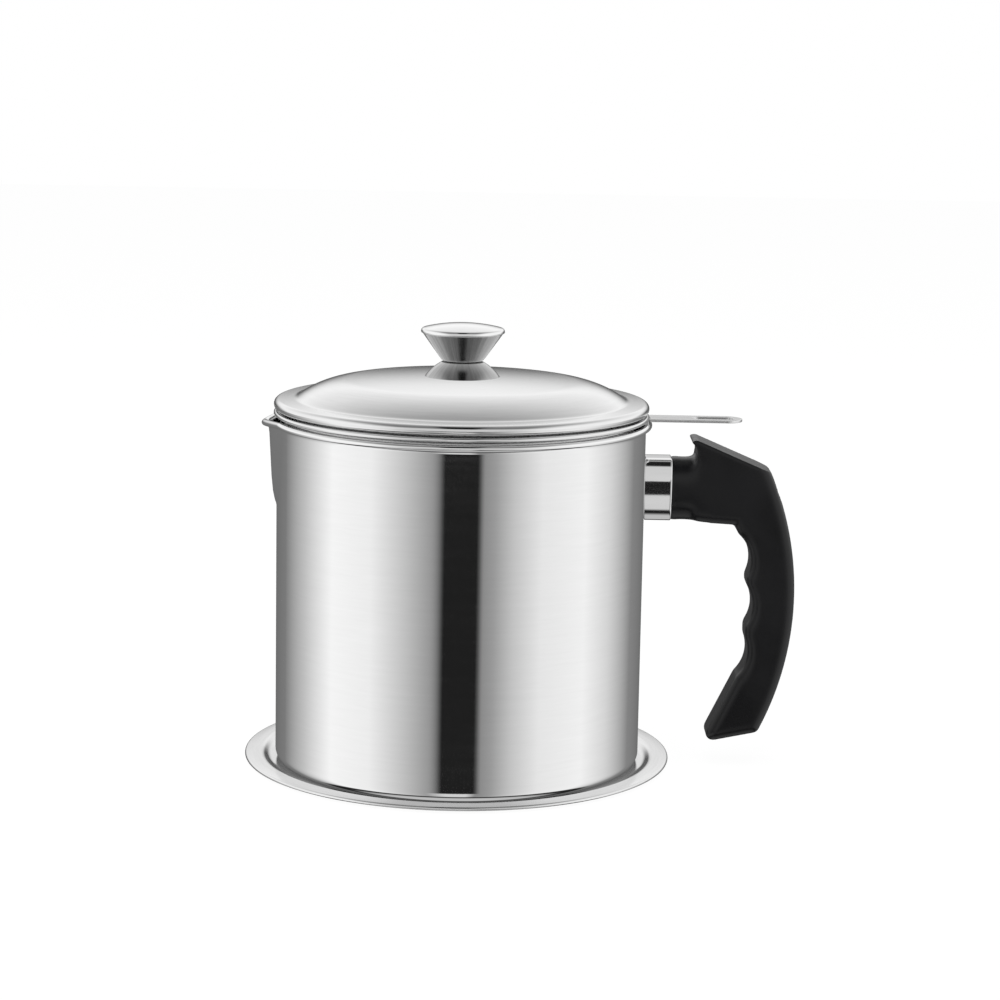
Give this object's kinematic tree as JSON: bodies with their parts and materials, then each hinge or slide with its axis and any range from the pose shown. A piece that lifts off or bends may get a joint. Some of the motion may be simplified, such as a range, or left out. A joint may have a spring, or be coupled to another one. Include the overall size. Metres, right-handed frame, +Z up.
{
  "type": "bacon grease container",
  "caption": "Steel strainer pot for cooking grease: pouring lip, moulded side handle with finger grooves, lift-out mesh strainer with hanging tab, domed lid with knob, and a drip tray.",
  "frame": {"origin": "middle of the drip tray's underside, on the pot's upright axis", "axes": "+Z up along the pot's axis, +X towards the side handle and the strainer's tab, -X towards the pouring lip, +Y to the back of the pot when the handle is at the right"},
  "size_m": [0.1798, 0.14, 0.1459],
  "materials": {
    "tray_steel": "satin stainless sheet with a hemmed edge",
    "pot_steel": "mirror-polished stainless sheet, faintly brushed upright",
    "ferrule_steel": "polished stainless tube",
    "fixing_steel": "plain stainless fixings",
    "grip_plastic": "black moulded phenolic, slightly satin",
    "strainer_steel": "polished stainless sheet",
    "mesh_steel": "fine woven stainless wire, stored as a closed skin",
    "tab_steel": "satin stainless strip",
    "lid_steel": "satin stainless sheet with a polished rolled edge",
    "knob_steel": "mirror-polished stainless, spun and pressed"
  },
  "bodies": {
    "tray": {"drip_tray": "tray_steel"},
    "pot": {"pot_body": "pot_steel", "handle_saddle": "fixing_steel", "weld_nut": "fixing_steel", "handle_ferrule": "ferrule_steel", "handle_grip": "grip_plastic", "handle_washer": "fixing_steel", "handle_screw": "fixing_steel"},
    "strainer": {"strainer_rim": "strainer_steel", "strainer_mesh": "mesh_steel", "strainer_clamp": "strainer_steel", "strainer_tab": "tab_steel"},
    "lid": {"lid_shell": "lid_steel", "lid_band": "lid_steel", "knob_base": "knob_steel", "knob_body": "knob_steel", "knob_stem": "fixing_steel", "knob_cap": "knob_steel", "knob_washer": "fixing_steel", "knob_screw": "fixing_steel"}
  },
  "joints": [
    {"name": "pot_lift", "type": "slide", "parent": "tray", "child": "pot", "axis": [0, 0, 1], "range_m": [0, 0.03]},
    {"name": "strainer_lift", "type": "slide", "parent": "pot", "child": "strainer", "axis": [0, 0, 1], "range_m": [0, 0.05]},
    {"name": "lid_lift", "type": "slide", "parent": "strainer", "child": "lid", "axis": [0, 0, 1], "range_m": [0, 0.03]}
  ]
}
